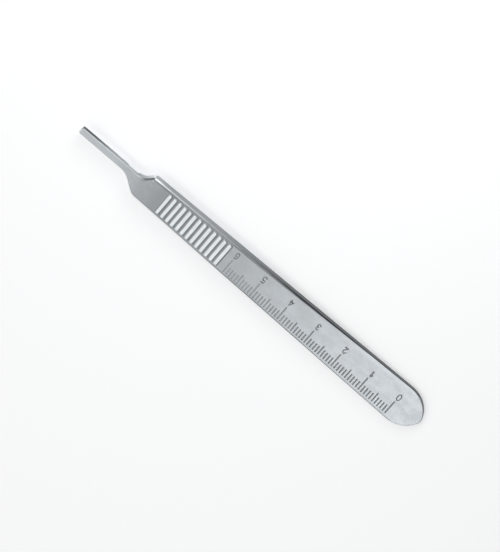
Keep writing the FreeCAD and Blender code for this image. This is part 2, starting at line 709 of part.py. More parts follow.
doc = FreeCAD.newDocument("scalpel_handle")
make_sheet(doc)
blank = make_blank(doc)
rounded = make_rounded(doc, blank, doc.getObject("plan_view"))
ribbed = add_ribs(doc, rounded)
handle = make_handle(doc, ribbed)
check_and_export(doc, [handle])
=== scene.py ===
"""Looks of a scalpel handle with a ribbed grip and an engraved ruler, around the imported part."""

import logging
import math
from dataclasses import dataclass
from enum import Enum

import bmesh
import bpy
from mathutils import Matrix, Vector


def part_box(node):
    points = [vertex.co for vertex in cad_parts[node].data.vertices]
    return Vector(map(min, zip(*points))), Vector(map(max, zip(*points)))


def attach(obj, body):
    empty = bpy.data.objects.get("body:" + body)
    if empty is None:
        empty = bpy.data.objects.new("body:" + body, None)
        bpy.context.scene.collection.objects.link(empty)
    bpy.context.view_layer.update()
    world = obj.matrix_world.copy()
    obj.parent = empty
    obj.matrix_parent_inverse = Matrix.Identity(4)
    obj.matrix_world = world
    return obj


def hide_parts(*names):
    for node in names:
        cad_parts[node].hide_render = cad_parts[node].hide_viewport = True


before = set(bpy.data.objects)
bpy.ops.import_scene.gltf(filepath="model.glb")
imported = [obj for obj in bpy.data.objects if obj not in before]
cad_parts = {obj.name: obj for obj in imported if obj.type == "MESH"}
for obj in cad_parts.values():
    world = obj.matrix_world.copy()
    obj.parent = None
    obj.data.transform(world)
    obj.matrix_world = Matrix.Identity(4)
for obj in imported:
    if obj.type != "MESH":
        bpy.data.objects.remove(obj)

MM = 0.001
NODE = "scalpel_handle"

log = logging.getLogger("scalpel_handle")

Point2 = tuple[float, float]
Span = tuple[float, float]
Size3 = tuple[float, float, float]
Colour = tuple[float, float, float]


@dataclass(frozen=True)
class HandleForm:
    """Sizes of the handle in millimetres, in the frame in which it was drawn.

    X runs from the tip of the tang to the tail, Y to the spine side and Z out of the face with the ruler.
    """

    overall_length: float = 125.0
    body_thickness: float = 3.15
    tail_thickness: float = 1.3
    taper_start: float = 55.4
    shoulder_width: float = 9.0
    widest_width: float = 12.3
    spine_shoulder: float = 25.2
    tail_arc_radius: float = 8.4
    tang_back: float = 1.2
    rib_first: float = 31.2
    rib_pitch: float = 1.8
    ribs: int = 13
    rib_height: float = 0.3

    @property
    def taper(self) -> float:
        """Slope of each tapering face, as rise over run."""
        drop = (self.body_thickness - self.tail_thickness) / 2
        return drop / (self.overall_length - self.taper_start)

    @property
    def last_rib(self) -> float:
        """Distance of the last rib from the tip."""
        return self.rib_first + (self.ribs - 1) * self.rib_pitch

    @property
    def pitch(self) -> float:
        """Lean of the handle as it lies on its last back rib and its tail, in radians."""
        crest = self.body_thickness / 2 + self.rib_height
        return math.atan((crest - self.tail_thickness / 2) / (self.overall_length - self.last_rib))

    @property
    def half_slope(self) -> float:
        """Growth of the half width for each millimetre towards the tail."""
        return self.half_width(1.0) - self.half_width(0.0)

    def half_width(self, x: float) -> float:
        """Half the width of the body.

        Args:
            x: Distance from the tip, behind the shoulders.

        Returns:
            Half width in millimetres.
        """
        end = self.overall_length - self.tail_arc_radius
        share = (x - self.spine_shoulder) / (end - self.spine_shoulder)
        return (self.shoulder_width + (self.widest_width - self.shoulder_width) * share) / 2

    def face_height(self, x: float) -> float:
        """Height of the tapering front face above the mid-plane, in millimetres."""
        return self.body_thickness / 2 - (x - self.taper_start) * self.taper

    def to_row(self) -> Matrix:
        """Finds where the drawn handle lies on the floor.

        Returns:
            Matrix from drawing millimetres to metres in the part's own frame.
        """
        turn = Matrix.Rotation(self.pitch, 4, "Y")
        tip = turn @ Vector((0, 0, -self.tang_back))
        crest = turn @ Vector((self.last_rib, 0, -self.body_thickness / 2 - self.rib_height))
        low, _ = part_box(NODE)
        shift = Matrix.Translation((low.x / MM - tip.x, 0, low.z / MM - crest.z))
        return Matrix.Scale(MM, 4) @ shift @ turn


@dataclass(frozen=True)
class Noise:
    """One noise: cells per millimetre, octaves, strength of each octave, and stretch of the cells."""

    scale: float
    octaves: float
    fineness: float
    stretch: Size3 = (1.0, 1.0, 1.0)


class Effect(Enum):
    """Effects of the surface, each of them a node group."""

    GRAIN = "steel_grain"
    RECESS = "engraved_recess"
    RIBS = "rib_highlight_and_shade"


class Graph:
    """Short hand for building a node tree."""

    def __init__(self, tree: bpy.types.NodeTree) -> None:
        """Takes the tree that receives the nodes."""
        self.tree = tree

    def add(self, kind: str, **settings: object) -> bpy.types.Node:
        """Adds a node.

        Args:
            kind: Blender's node type name.
            **settings: Attributes to set on the node.

        Returns:
            The new node.
        """
        node = self.tree.nodes.new(kind)
        for name, value in settings.items():
            setattr(node, name, value)
        return node

    def put(self, target: bpy.types.NodeSocket, value: object) -> None:
        """Links a socket to the target, or writes a plain value into it.

        Args:
            target: Input socket.
            value: Output socket or plain value.
        """
        if isinstance(value, bpy.types.NodeSocket):
            self.tree.links.new(value, target)
        else:
            target.default_value = value

    def maths(self, operation: str, *values: object) -> bpy.types.NodeSocket:
        """Maths node.

        Args:
            operation: Blender's name of the operation.
            *values: Sockets or numbers, in order.

        Returns:
            Output socket.
        """
        node = self.add("ShaderNodeMath", operation=operation)
        for target, value in zip(node.inputs, values):
            self.put(target, value)
        return node.outputs[0]

    def product(self, first: object, *others: object) -> bpy.types.NodeSocket:
        """Product of two or more values.

        Args:
            first: Socket or number.
            *others: The other sockets or numbers.

        Returns:
            Output socket.
        """
        for value in others:
            first = self.maths("MULTIPLY", first, value)
        return first

    def mean(self, share: object, first: object, second: object) -> bpy.types.NodeSocket:
        """Weighed mean of two values.

        Args:
            share: Weight of the second, from 0 to 1.
            first: Value at 0.
            second: Value at 1.

        Returns:
            Output socket.
        """
        kept = self.product(first, self.maths("SUBTRACT", 1.0, share))
        return self.maths("ADD", kept, self.product(second, share))

    def ramp(self, value: object, span: Span, results: Span) -> bpy.types.NodeSocket:
        """Smooth map of a value from one range to another.

        Args:
            value: Socket to map.
            span: Values at the two ends.
            results: Results at and beyond the two ends.

        Returns:
            Output socket.
        """
        node = self.add("ShaderNodeMapRange", interpolation_type="SMOOTHSTEP")
        for target, number in zip(node.inputs, (value, *span, *results)):
            self.put(target, number)
        return node.outputs[0]

    def rise(self, value: object, span: Span) -> bpy.types.NodeSocket:
        """Smooth rise from 0 to 1 as the value goes through the span."""
        return self.ramp(value, span, (0.0, 1.0))

    def fall(self, value: object, span: Span) -> bpy.types.NodeSocket:
        """Smooth fall from 1 to 0 as the value goes through the span."""
        return self.ramp(value, span, (1.0, 0.0))

    def mix(self, share: object, first: object, second: object) -> bpy.types.NodeSocket:
        """Mix of two colours.

        Args:
            share: How much of the second, from 0 to 1.
            first: Colour or colour socket at 0.
            second: Colour or colour socket at 1.

        Returns:
            Output socket.
        """
        node = self.add("ShaderNodeMix", data_type="RGBA")
        self.put(node.inputs["Factor"], share)
        for target, colour in ((node.inputs[6], first), (node.inputs[7], second)):
            self.put(target, (*colour, 1.0) if isinstance(colour, tuple) else colour)
        return node.outputs[2]

    def noise(self, place: object, pattern: Noise) -> bpy.types.NodeSocket:
        """Noise texture.

        Args:
            place: Drawing millimetres of the point.
            pattern: Size and kind of the noise.

        Returns:
            Value socket.
        """
        stretched = self.add("ShaderNodeVectorMath", operation="MULTIPLY")
        self.put(stretched.inputs[0], place)
        self.put(stretched.inputs[1], pattern.stretch)
        node = self.add("ShaderNodeTexNoise")
        self.put(node.inputs["Vector"], stretched.outputs[0])
        self.put(node.inputs["Scale"], pattern.scale)
        self.put(node.inputs["Detail"], pattern.octaves)
        self.put(node.inputs["Roughness"], pattern.fineness)
        return node.outputs["Fac"]

    def split(self, vector: object) -> tuple[bpy.types.NodeSocket, ...]:
        """Parts of a vector.

        Args:
            vector: Socket to take apart.

        Returns:
            Its X, Y and Z sockets.
        """
        node = self.add("ShaderNodeSeparateXYZ")
        self.put(node.inputs[0], vector)
        return tuple(node.outputs)

    def effect(self, effect: Effect, place: object) -> bpy.types.Node:
        """Places one of the effects.

        Args:
            effect: Which effect.
            place: Drawing millimetres of the point.

        Returns:
            The group node.
        """
        node = self.add("ShaderNodeGroup", node_tree=bpy.data.node_groups[effect.value])
        self.put(node.inputs["Place"], place)
        return node


class EffectGraph(Graph):
    """Node tree of an effect, with its named inputs and outputs."""

    def __init__(self, effect: Effect, outputs: tuple[str, ...], values: tuple[str, ...] = ()) -> None:
        """Makes the group.

        Args:
            effect: Which effect it is.
            outputs: Names of its outputs.
            values: Names of the inputs that it has beside Place.
        """
        super().__init__(bpy.data.node_groups.new(effect.value, "ShaderNodeTree"))
        sockets = self.tree.interface
        sockets.new_socket("Place", in_out="INPUT", socket_type="NodeSocketVector")
        for name in values:
            sockets.new_socket(name, in_out="INPUT", socket_type="NodeSocketFloat")
        for name in outputs:
            sockets.new_socket(name, in_out="OUTPUT", socket_type="NodeSocketFloat")
        self.given = self.add("NodeGroupInput").outputs
        self.result = self.add("NodeGroupOutput").inputs


@dataclass(frozen=True)
class SteelGrain:
    """Fine blasted grain with long grinding streaks, and soft mottling, as satin steel has them."""

    blasted: Noise = Noise(6.5, 4.0, 0.62)
    streaks: Noise = Noise(1.7, 3.0, 0.5, (0.22, 5.0, 5.0))
    clouds: Noise = Noise(0.40, 3.0, 0.6, (0.6, 0.9, 0.9))
    flecks: Noise = Noise(2.2, 2.0, 0.6)
    fleck_share: float = 0.38

    def build(self) -> None:
        """Makes the group with inputs Place and Streak Share, and outputs Grain and Mottle."""
        graph = EffectGraph(Effect.GRAIN, ("Grain", "Mottle"), ("Streak Share",))
        place = graph.given["Place"]
        blasted = graph.noise(place, self.blasted)
        streaks = graph.noise(place, self.streaks)
        graph.put(graph.result["Grain"], graph.mean(graph.given["Streak Share"], blasted, streaks))
        clouds = graph.noise(place, self.clouds)
        flecks = graph.noise(place, self.flecks)
        graph.put(graph.result["Mottle"], graph.mean(self.fleck_share, clouds, flecks))


@dataclass(frozen=True)
class EngravedRecess:
    """Mask of what lies below the tapering front face, which is the floor of the engraving.

    Sizes are in millimetres. The mask is weaker towards the grip.
    """

    form: HandleForm
    depth: Span = (0.008, 0.05)
    half_face: float = 3.5
    face_growth: float = 0.018
    face_edge: Span = (0.0, 0.25)
    front: Span = (0.1, 0.2)
    behind_start: Span = (-0.6, -0.4)
    darkening_stretch: Span = (2.0, 42.0)
    darkening: Span = (0.25, 0.85)

    def build(self) -> None:
        """Makes the group with input Place and output Recess."""
        form = self.form
        graph = EffectGraph(Effect.RECESS, ("Recess",))
        along, across, up = graph.split(graph.given["Place"])
        past_start = graph.maths("SUBTRACT", along, form.taper_start)
        face = graph.maths("SUBTRACT", form.body_thickness / 2, graph.product(past_start, form.taper))
        deep = graph.rise(graph.maths("SUBTRACT", face, up), self.depth)
        edge = graph.maths("ADD", graph.product(along, self.face_growth), self.half_face)
        inside = graph.maths("SUBTRACT", edge, graph.maths("ABSOLUTE", across))
        on_face = graph.rise(inside, self.face_edge)
        front = graph.rise(up, self.front)
        behind = graph.rise(past_start, self.behind_start)
        # darker inside the engraving, less so towards the grip
        darkened = graph.ramp(past_start, self.darkening_stretch, self.darkening)
        graph.put(graph.result["Recess"], graph.product(deep, on_face, front, behind, darkened))


@dataclass(frozen=True)
class RibHighlightAndShade:
    """Masks of the rib crests, which get a painted highlight beside a real polish, and of the valleys
    between them, which get painted shade, in millimetres.
    """

    form: HandleForm
    past_ribs: Span = (0.7, 0.85)
    flat_edge: Span = (3.6, 4.2)
    valley_shade: Span = (0.02, 0.16)
    ground: Span = (-0.08, -0.03)
    crest: Span = (0.18, 0.285)

    def build(self) -> None:
        """Makes the group with input Place, an output for the crests' painted highlight and polish, and
        an output for the valleys' painted shade.
        """
        form = self.form
        graph = EffectGraph(Effect.RIBS, ("Highlight And Polish", "Valley Shade"))
        along, across, up = graph.split(graph.given["Place"])
        middle = (form.rib_first + form.last_rib) / 2
        half_row = (form.last_rib - form.rib_first) / 2
        distance = graph.maths("ABSOLUTE", graph.maths("SUBTRACT", along, middle))
        past_row = graph.maths("SUBTRACT", distance, half_row)
        on_flat = graph.fall(graph.maths("ABSOLUTE", across), self.flat_edge)
        inside = graph.product(graph.fall(past_row, self.past_ribs), on_flat)
        proud = graph.maths("SUBTRACT", graph.maths("ABSOLUTE", up), form.body_thickness / 2)
        low = graph.fall(proud, self.valley_shade)
        above = graph.rise(proud, self.ground)
        graph.put(graph.result["Highlight And Polish"], graph.product(inside, graph.rise(proud, self.crest)))
        graph.put(graph.result["Valley Shade"], graph.product(inside, low, above))


@dataclass(frozen=True)
class Spot:
    """Where a point of the surface lies in the drawing, and how far it faces the spine, as sockets."""

    place: bpy.types.NodeSocket
    along: bpy.types.NodeSocket
    across: bpy.types.NodeSocket
    half_width: bpy.types.NodeSocket
    facing: bpy.types.NodeSocket

    @classmethod
    def find(cls, graph: Graph, form: HandleForm) -> "Spot":
        """Adds the nodes that find the point.

        Args:
            graph: Node tree of the material.
            form: Sizes of the handle.

        Returns:
            The sockets.
        """
        coords = graph.add("ShaderNodeTexCoord")
        drawing = graph.add("ShaderNodeMapping", vector_type="POINT")
        back = form.to_row().inverted()
        graph.put(drawing.inputs["Vector"], coords.outputs["Object"])
        graph.put(drawing.inputs["Location"], back.translation)
        graph.put(drawing.inputs["Rotation"], back.to_euler())
        graph.put(drawing.inputs["Scale"], back.to_scale())
        place = drawing.outputs[0]
        along, across, _ = graph.split(place)
        half_width = graph.maths("ADD", graph.product(along, form.half_slope), form.half_width(0.0))
        _, facing, _ = graph.split(coords.outputs["Normal"])
        return cls(place, along, across, half_width, facing)


@dataclass(frozen=True)
class FaceTones:
    """Colours of the faces, and the stretches in millimetres from the tip over which they change. The
    lighter tang is painted light, the darker flat before the ribs and the rib valleys are painted shade,
    and the near white rib crests are a painted highlight.
    """

    bright: Colour = (0.622, 0.656, 0.684)
    dull: Colour = (0.566, 0.597, 0.622)
    # darker towards the tail
    darker_tail: Colour = (0.521, 0.55, 0.574)
    # painted light: the tang's face is kept lighter than the body, as the light falls brighter there
    tang: Colour = (0.785, 0.827, 0.86)
    # painted shade on the flat face just before the ribs
    shade_before_ribs: Colour = (0.50, 0.53, 0.553)
    # painted highlight: the rib crests are given a near white colour
    crest: Colour = (0.86, 0.895, 0.92)
    # painted shade in the valleys between the ribs
    valley_shade: Colour = (0.45, 0.474, 0.493)
    engraved: Colour = (0.318, 0.335, 0.349)
    dull_to_darker_tail: Span = (85.0, 118.0)
    tang_to_body: Span = (12.0, 18.5)
    shade_begins: Span = (25.0, 29.5)
    shade_ends: Span = (32.0, 36.0)

    def colour(self, graph: Graph, spot: Spot, mottle: bpy.types.NodeSocket) -> bpy.types.NodeSocket:
        """Colour of the plain face, with the tang's painted light and the painted shade on the flat
        before the ribs.

        Args:
            graph: Node tree of the material.
            spot: The point.
            mottle: Share of the bright steel, from 0 to 1.

        Returns:
            Colour socket.
        """
        dull = graph.mix(graph.rise(spot.along, self.dull_to_darker_tail), self.dull, self.darker_tail)
        plain = graph.mix(mottle, dull, self.bright)
        # painted light on the tang
        plain = graph.mix(graph.rise(spot.along, self.tang_to_body), self.tang, plain)
        shade = graph.product(
            graph.rise(spot.along, self.shade_begins),
            graph.fall(spot.along, self.shade_ends),
        )
        return graph.mix(shade, plain, self.shade_before_ribs)


@dataclass(frozen=True)
class SideLightAndShade:
    """Painted reflections, highlights and shade on the spine side, its wall and the rounding above it,
    from the tip to the tail.

    Stretches are in millimetres from the tip. The spans of facing run from 0, level, to 1, upright wall.
    """

    # painted reflections and shade on the wall: dark near the tip and towards the tail, lighter at the
    # shoulder and in front
    tip_wall_shade: Colour = (0.13, 0.138, 0.143)
    wall_shoulder: Colour = (0.42, 0.44, 0.45)
    wall_front: Colour = (0.34, 0.357, 0.365)
    tail_wall_shade: Colour = (0.155, 0.165, 0.172)
    # painted reflections on the rounding: a painted highlight at the shoulder, near black painted shade
    # towards the tail
    round_neck: Colour = (0.46, 0.482, 0.497)
    shoulder_highlight: Colour = (0.82, 0.845, 0.86)
    round_front: Colour = (0.37, 0.388, 0.397)
    tail_rounding_shade: Colour = (0.045, 0.049, 0.052)
    tip_ends: Span = (3.0, 12.0)
    neck_ends: Span = (22.5, 24.3)
    shoulder_ends: Span = (24.5, 32.0)
    tail_begins: Span = (40.0, 80.0)
    round_to_wall: Span = (0.88, 0.97)
    face_to_side: Span = (0.45, 0.80)
    face_to_side_at_tail: Span = (0.30, 0.60)
    thin_edge_begins: Span = (55.0, 80.0)

    def colour(self, graph: Graph, spot: Spot) -> bpy.types.NodeSocket:
        """Painted light and shade of wall and rounding.

        Args:
            graph: Node tree of the material.
            spot: The point.

        Returns:
            Colour socket.
        """
        near_tip = graph.fall(spot.along, self.tip_ends)
        near_neck = graph.fall(spot.along, self.neck_ends)
        near_shoulder = graph.fall(spot.along, self.shoulder_ends)
        to_tail = graph.rise(spot.along, self.tail_begins)
        wall = graph.mix(near_shoulder, self.wall_front, self.wall_shoulder)
        wall = graph.mix(near_tip, wall, self.tip_wall_shade)
        wall = graph.mix(to_tail, wall, self.tail_wall_shade)
        rounding = graph.mix(near_shoulder, self.round_front, self.shoulder_highlight)
        rounding = graph.mix(near_neck, rounding, self.round_neck)
        rounding = graph.mix(to_tail, rounding, self.tail_rounding_shade)
        return graph.mix(graph.rise(spot.facing, self.round_to_wall), rounding, wall)

    def share(self, graph: Graph, spot: Spot) -> bpy.types.NodeSocket:
        """How much of the side's painted light and shade a point has.

        Args:
            graph: Node tree of the material.
            spot: The point.

        Returns:
            Mask socket.
        """
        at_tail = graph.product(
            graph.rise(spot.facing, self.face_to_side_at_tail),
            graph.rise(spot.along, self.thin_edge_begins),
        )
        return graph.maths("MAXIMUM", graph.rise(spot.facing, self.face_to_side), at_tail)


@dataclass(frozen=True)
class EdgeTones:
    """Painted highlight along the spine side edge of the face, and painted shade along its other edge.

    Stretches are in millimetres from the tip, bands in millimetres from the edge.
    """

    # painted highlight along the spine side edge, towards the tail
    edge_highlight: Colour = (0.80, 0.842, 0.875)
    # painted shade on the far edge, darker towards the tail
    far_front: Colour = (0.52, 0.545, 0.562)
    far_tail: Colour = (0.31, 0.326, 0.338)
    highlight_facing: Span = (0.03, 0.14)
    highlight_band: Span = (-1.7, -0.5)
    highlight_band_share: float = 0.35
    highlight_begins: Span = (82.0, 104.0)
    # painted shade in a band along the far edge, towards the tail
    rim_band: Span = (-0.7, -0.15)
    rim_share: float = 0.85
    rim_begins: Span = (62.0, 80.0)
    far_facing: Span = (-0.15, -0.45)
    far_front_to_tail: Span = (34.0, 60.0)

    def edge_highlight_share(self, graph: Graph, spot: Spot) -> bpy.types.NodeSocket:
        """How much of the edge's painted highlight a point has.

        Args:
            graph: Node tree of the material.
            spot: The point.

        Returns:
            Mask socket.
        """
        from_edge = graph.maths("SUBTRACT", spot.across, spot.half_width)
        band = graph.product(graph.rise(from_edge, self.highlight_band), self.highlight_band_share)
        edge_highlight = graph.maths("MAXIMUM", graph.rise(spot.facing, self.highlight_facing), band)
        return graph.product(edge_highlight, graph.rise(spot.along, self.highlight_begins))

    def far_shade_share(self, graph: Graph, spot: Spot) -> bpy.types.NodeSocket:
        """How much of the far edge's painted shade a point has.

        Args:
            graph: Node tree of the material.
            spot: The point.

        Returns:
            Mask socket.
        """
        from_edge = graph.maths("SUBTRACT", graph.product(spot.across, -1.0), spot.half_width)
        begun = graph.rise(spot.along, self.rim_begins)
        rim = graph.product(graph.rise(from_edge, self.rim_band), begun, self.rim_share)
        return graph.maths("MAXIMUM", rim, graph.rise(spot.facing, self.far_facing))

    def far_shade_colour(self, graph: Graph, spot: Spot) -> bpy.types.NodeSocket:
        """Painted shade of the far edge, which gets darker towards the tail."""
        return graph.mix(graph.rise(spot.along, self.far_front_to_tail), self.far_front, self.far_tail)


@dataclass(frozen=True)
class SatinSteel:
    """Satin finished stainless steel: fine grain, soft mottling, polished crests with painted highlights,
    painted shade in the rib valleys, painted light and shade on the sides and edges, darker engraving.
    """

    name: str = "satin_steel"
    face: FaceTones = FaceTones()
    side: SideLightAndShade = SideLightAndShade()
    edge: EdgeTones = EdgeTones()
    mottle: Span = (0.35, 0.65)
    dull_to_bright_roughness: Span = (0.375, 0.365)
    engraved_roughness: float = 0.55
    crest_polish: float = 0.05
    grain_depth: float = 0.012 * MM
    streak_share: float = 0.35

    def build(self, form: HandleForm) -> bpy.types.Material:
        """Makes the material.

        Args:
            form: Sizes of the handle, for the place of the engraving.

        Returns:
            The material.
        """
        material = bpy.data.materials.new(self.name)
        material.use_nodes = True
        material.node_tree.nodes.clear()
        graph = Graph(material.node_tree)
        spot = Spot.find(graph, form)
        grain = graph.effect(Effect.GRAIN, spot.place)
        graph.put(grain.inputs["Streak Share"], self.streak_share)
        recess = graph.effect(Effect.RECESS, spot.place).outputs["Recess"]
        ribs = graph.effect(Effect.RIBS, spot.place).outputs
        mottle = graph.rise(grain.outputs["Mottle"], self.mottle)

        colour = self.face.colour(graph, spot, mottle)
        # painted highlight along the spine side edge
        colour = graph.mix(self.edge.edge_highlight_share(graph, spot), colour, self.edge.edge_highlight)
        # painted reflections, highlight and shade on the spine side
        colour = graph.mix(self.side.share(graph, spot), colour, self.side.colour(graph, spot))
        # painted shade on the far edge
        colour = graph.mix(self.edge.far_shade_share(graph, spot), colour, self.edge.far_shade_colour(graph, spot))
        # painted highlight on the rib crests
        colour = graph.mix(ribs["Highlight And Polish"], colour, self.face.crest)
        # painted shade in the rib valleys
        colour = graph.mix(ribs["Valley Shade"], colour, self.face.valley_shade)
        colour = graph.mix(recess, colour, self.face.engraved)

        rough = graph.ramp(mottle, (0.0, 1.0), self.dull_to_bright_roughness)
        rough = graph.maths("SUBTRACT", rough, graph.product(ribs["Highlight And Polish"], self.crest_polish))
        rough = graph.mean(recess, rough, self.engraved_roughness)

        bump = graph.add("ShaderNodeBump")
        graph.put(bump.inputs["Strength"], 1.0)
        graph.put(bump.inputs["Distance"], self.grain_depth)
        graph.put(bump.inputs["Height"], grain.outputs["Grain"])

        shader = graph.add("ShaderNodeBsdfPrincipled")
        graph.put(shader.inputs["Metallic"], 1.0)
        graph.put(shader.inputs["Base Color"], colour)
        graph.put(shader.inputs["Roughness"], rough)
        graph.put(shader.inputs["Normal"], bump.outputs[0])
        output = graph.add("ShaderNodeOutputMaterial")
        graph.put(output.inputs["Surface"], shader.outputs[0])
        return material


@dataclass(frozen=True)
class PaleFloor:
    """Matt white table top under the handle, with its width in metres.

    Its lift is the light that the camera and mirror rays see in it beside the lamps' light.
    """

    name: str = "pale_floor"
    colour: Colour = (0.88, 0.885, 0.89)
    roughness: float = 0.85
    width: float = 12.0
    lift: float = 0.55

    def build(self) -> bpy.types.Object:
        """Makes the floor with its material.

        Returns:
            The floor.
        """
        mesh = bpy.data.meshes.new(self.name)
        half = self.width / 2
        corners = [(-half, -half, 0), (half, -half, 0), (half, half, 0), (-half, half, 0)]
        mesh.from_pydata(corners, [], [(0, 1, 2, 3)])
        floor = bpy.data.objects.new(self.name, mesh)
        bpy.context.scene.collection.objects.link(floor)
        material = bpy.data.materials.new(self.name)
        material.use_nodes = True
        shader = material.node_tree.nodes["Principled BSDF"]
        shader.inputs["Base Color"].default_value = (*self.colour, 1.0)
        shader.inputs["Roughness"].default_value = self.roughness
        graph = Graph(material.node_tree)
        path = graph.add("ShaderNodeLightPath")
        seen = graph.maths("MAXIMUM", path.outputs["Is Camera Ray"], path.outputs["Is Glossy Ray"])
        seen = graph.maths("MAXIMUM", seen, path.outputs["Is Transmission Ray"])
        shader.inputs["Emission Color"].default_value = (*self.colour, 1.0)
        graph.put(shader.inputs["Emission Strength"], graph.maths("MULTIPLY", seen, self.lift))
        mesh.materials.append(material)
        return floor


@dataclass(frozen=True)
class Lamp:
    """Soft rectangular studio lamp, in metres and watts."""

    name: str
    place: Size3
    aim: Size3
    width: float
    height: float
    power: float

    def build(self) -> bpy.types.Object:
        """Makes the lamp and turns it to its aim.

        Returns:
            The lamp.
        """
        data = bpy.data.lights.new(self.name, "AREA")
        data.shape = "RECTANGLE"
        data.size = self.width
        data.size_y = self.height
        data.energy = self.power
        lamp = bpy.data.objects.new(self.name, data)
        bpy.context.scene.collection.objects.link(lamp)
        lamp.location = self.place
        lamp.rotation_euler = (Vector(self.aim) - lamp.location).to_track_quat("-Z", "Y").to_euler()
        return lamp


@dataclass(frozen=True)
class Studio:
    """Lamps, room, floor and camera.

    The camera's centre is in drawing millimetres, its distance, sensor and clip in the units of Blender.
    """

    lamps: tuple[Lamp, ...] = (
        Lamp("key_lamp", (-0.46, -0.26, 0.50), (0.0, 0.0, 0.0), 0.30, 0.40, 0.62),
        Lamp("tail_lamp", (0.11, -0.15, 0.30), (0.05, 0.0, 0.0), 0.15, 0.14, 0.110),
        Lamp("tip_lamp", (-0.12, -0.15, 0.30), (-0.05, 0.0, 0.0), 0.14, 0.14, 0.028),
        Lamp("rim_lamp", (-0.07, 0.20, 0.10), (-0.035, 0.0, 0.0), 0.10, 0.08, 0.12),
        Lamp("shoulder_lamp", (-0.10, 0.14, 0.16), (-0.035, 0.0, 0.0), 0.10, 0.08, 0.045),
    )
    floor: PaleFloor = PaleFloor()
    room_level: float = 0.14
    room_front: float = 0.60
    front_focus: float = 2.0
    room_top: float = 0.24
    top_focus: float = 3.0
    photo_width: float = 500.0
    photo_height: float = 552.0
    pixels_per_mm: float = 3.585
    tilt: float = 26.0
    roll: float = 40.93
    centre: Size3 = (62.43, -0.298, 0.0)
    distance: float = 1.5
    sensor: float = 36.0
    clip: Span = (0.05, 20.0)

    def build_camera(self, form: HandleForm) -> bpy.types.Object:
        """Makes the camera, which looks down on the spine side of the handle.

        Args:
            form: Sizes of the handle.

        Returns:
            The scene's camera.
        """
        tilt, roll = math.radians(self.tilt), math.radians(self.roll)
        back = Vector((0, math.sin(tilt), math.cos(tilt)))
        along = Vector((1, 0, 0))
        over = Vector((0, math.cos(tilt), -math.sin(tilt)))
        right = math.cos(roll) * along + math.sin(roll) * over
        up = math.cos(roll) * over - math.sin(roll) * along
        data = bpy.data.cameras.new("camera")
        long_side = max(self.photo_width, self.photo_height) / self.pixels_per_mm * MM
        data.sensor_width = self.sensor
        data.lens = self.sensor * self.distance / long_side
        data.clip_start, data.clip_end = self.clip
        camera = bpy.data.objects.new("camera", data)
        bpy.context.scene.collection.objects.link(camera)
        target = form.to_row() @ Vector(self.centre)
        turned = Matrix((right, up, back)).transposed().to_4x4()
        camera.matrix_world = Matrix.Translation(target + back * self.distance) @ turned
        bpy.context.scene.camera = camera
        return camera

    def build_room(self) -> None:
        """Makes the plain room light, a little stronger overhead and in front of the handle."""
        world = bpy.data.worlds.new("room")
        bpy.context.scene.world = world
        world.use_nodes = True
        world.node_tree.nodes.clear()
        graph = Graph(world.node_tree)
        coords = graph.add("ShaderNodeTexCoord")
        _, over, up = graph.split(coords.outputs["Generated"])
        towards = graph.maths("MAXIMUM", graph.product(over, -1.0), 0.0)
        front = graph.product(graph.maths("POWER", towards, self.front_focus), self.room_front)
        height = graph.maths("POWER", graph.maths("MAXIMUM", up, 0.0), self.top_focus)
        level = graph.maths("ADD", graph.product(height, self.room_top), self.room_level)
        light = graph.add("ShaderNodeBackground")
        graph.put(light.inputs["Strength"], graph.maths("ADD", front, level))
        output = graph.add("ShaderNodeOutputWorld")
        graph.put(output.inputs["Surface"], light.outputs[0])

    def build(self, form: HandleForm) -> None:
        """Makes camera, room light, lamps and floor.

        Args:
            form: Sizes of the handle.
        """
        self.build_camera(form)
        self.build_room()
        for lamp in self.lamps:
            lamp.build()
        self.floor.build()


class Numeral(Enum):
    """Numbers of the ruler as strokes in a box of width 1 and height 1, x to the right and y up."""

    ZERO = 0
    ONE = 1
    TWO = 2
    THREE = 3
    FOUR = 4
    FIVE = 5
    SIX = 6

    @staticmethod
    def bow(centre: Point2, radii: Point2, start: float, end: float, steps: int = 12) -> list[Point2]:
        """Points on part of an ellipse.

        Args:
            centre: Centre of the ellipse.
            radii: Half width and half height.
            start: First angle in degrees, counter-clockwise from the right.
            end: Last angle in degrees.
            steps: Number of straight runs.

        Returns:
            The points in order.
        """
        angles = [math.radians(start + (end - start) * step / steps) for step in range(steps + 1)]
        return [(centre[0] + radii[0] * math.cos(a), centre[1] + radii[1] * math.sin(a)) for a in angles]

    def strokes(self) -> list[list[Point2]]:
        """The strokes of this number.

        Returns:
            One list of points for each stroke. A stroke whose ends meet is a ring.
        """
        bow = Numeral.bow
        shapes = {
            Numeral.ZERO: [bow((0.5, 0.5), (0.46, 0.5), 90, 450, 24)],
            Numeral.ONE: [[(0.58, 0.98), (0.58, 0.0)], [(0.06, 0.74), (0.34, 0.92)]],
            Numeral.TWO: [bow((0.5, 0.70), (0.42, 0.30), 165, -38, 14) + [(0.08, 0.0), (0.95, 0.0)]],
            Numeral.THREE: [
                bow((0.46, 0.755), (0.38, 0.245), 150, -90, 12)
                + bow((0.46, 0.255), (0.44, 0.255), 90, -155, 12)[1:]
            ],
            Numeral.FOUR: [[(0.72, 0.0), (0.72, 1.0), (0.04, 0.28), (0.98, 0.28)]],
            Numeral.FIVE: [
                [(0.86, 1.0), (0.20, 1.0), (0.12, 0.53)] + bow((0.46, 0.32), (0.44, 0.32), 128, -150, 14)
            ],
            Numeral.SIX: [
                bow((0.56, 0.42), (0.48, 0.58), 62, 180, 8)
                + bow((0.5, 0.31), (0.42, 0.31), 180, 540, 20)[1:]
            ],
        }
        return shapes[self]


